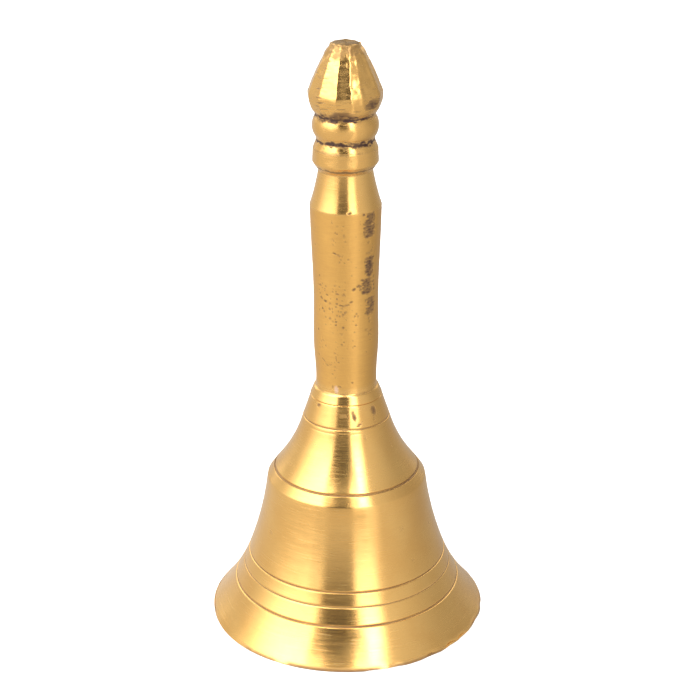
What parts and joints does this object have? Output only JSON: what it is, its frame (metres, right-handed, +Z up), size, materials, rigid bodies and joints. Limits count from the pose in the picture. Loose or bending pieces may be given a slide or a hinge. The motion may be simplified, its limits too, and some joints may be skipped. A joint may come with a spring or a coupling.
{
  "type": "hand bell",
  "caption": "Small turned brass hand bell with a solid ringed handle, a bud finial and a clapper hung from a ring inside the cup.",
  "frame": {"origin": "centre of the bell's mouth, on the plane that the lip stands on", "axes": "+Z up the bell's axis, from the mouth to the finial; X is the axis that the clapper's main swing turns about, and the eye of the eye bolt lies in the XZ plane"},
  "size_m": [0.0544, 0.0544, 0.115],
  "materials": {
    "bell_brass": "polished and lathe turned outside, rough cast inside",
    "handle_brass": "satin grip with casting pits, polished rings and finial",
    "clapper_brass": "turned, dull",
    "iron_wire": "plain drawn wire, slightly oxidised",
    "zinc_steel": "zinc plated, dull"
  },
  "bodies": {
    "bell": {"bell_cup": "bell_brass", "handle": "handle_brass", "clapper_eye_bolt": "zinc_steel", "crown_washer": "zinc_steel", "crown_nut": "zinc_steel"},
    "ring": {"hanging_ring": "iron_wire"},
    "clapper": {"clapper_rod": "iron_wire", "clapper_ball": "clapper_brass"}
  },
  "joints": [
    {"name": "ring_swing", "type": "hinge", "parent": "bell", "child": "ring", "pos_m": [0, 0, 0.0294], "axis": [1, 0, 0], "range_deg": [-34.5, 34.5]},
    {"name": "clapper_swing", "type": "hinge", "parent": "ring", "child": "clapper", "pos_m": [0, 0, 0.02425], "axis": [0, 1, 0], "range_deg": [-8, 8]}
  ]
}
